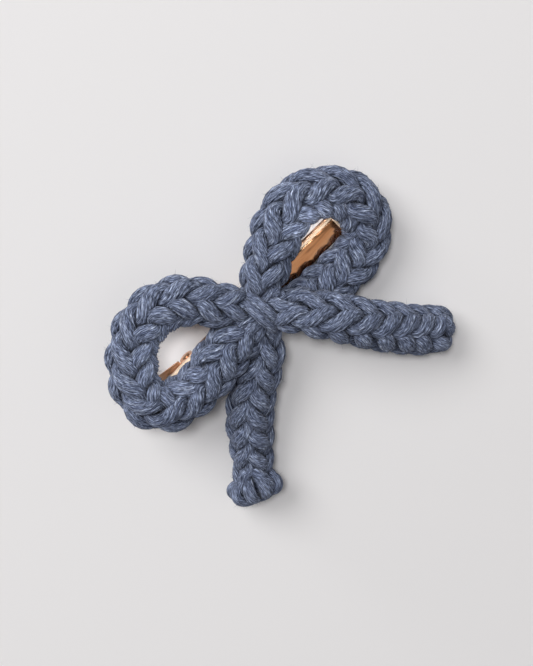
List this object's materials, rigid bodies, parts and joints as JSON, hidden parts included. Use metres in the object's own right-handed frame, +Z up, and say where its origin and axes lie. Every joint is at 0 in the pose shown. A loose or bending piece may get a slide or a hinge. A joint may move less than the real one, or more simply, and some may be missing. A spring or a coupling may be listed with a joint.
{
  "type": "hair bow clip",
  "caption": "Knitted cord bow with two loops and two tails, cinched by a yarn wrap and glued to a sprung duckbill hair clip with a rectangular tip.",
  "frame": {"origin": "middle of the bow's footprint, on the surface that it lies on", "axes": "+X along the clip towards its tip, +Y away from the tails, +Z up from the surface. The clip lies tip down by 5 degrees about +Y."},
  "size_m": [0.1014, 0.0848, 0.0271],
  "materials": {
    "yarn": "heather slate-blue cotton yarn, matte",
    "thread": "matching sewing thread",
    "glue": "translucent hot glue",
    "rose_gold": "polished rose-gold plating",
    "spring_steel": "drawn spring wire"
  },
  "bodies": {
    "bow_and_top_jaw": {"left_loop": "yarn", "right_loop": "yarn", "right_tail": "yarn", "lower_tail": "yarn", "cast_on_end": "yarn", "bound_off_end": "yarn", "knot_core": "yarn", "centre_wrap": "yarn", "wrap_tack": "thread", "glue_layer": "glue", "upper_jaw": "rose_gold", "hinge_pin": "rose_gold", "clip_spring": "spring_steel"},
    "lower_jaw_body": {"lower_jaw": "rose_gold", "spring_leg": "spring_steel"}
  },
  "joints": [
    {"name": "jaw_hinge", "type": "hinge", "parent": "bow_and_top_jaw", "child": "lower_jaw_body", "pos_m": [-0.02607, 0.01045, 0.00608], "axis": [0, 1, 0], "range_deg": [0, 24], "stiffness_Nm_per_rad": 0.12, "springref_deg": -20.05}
  ]
}
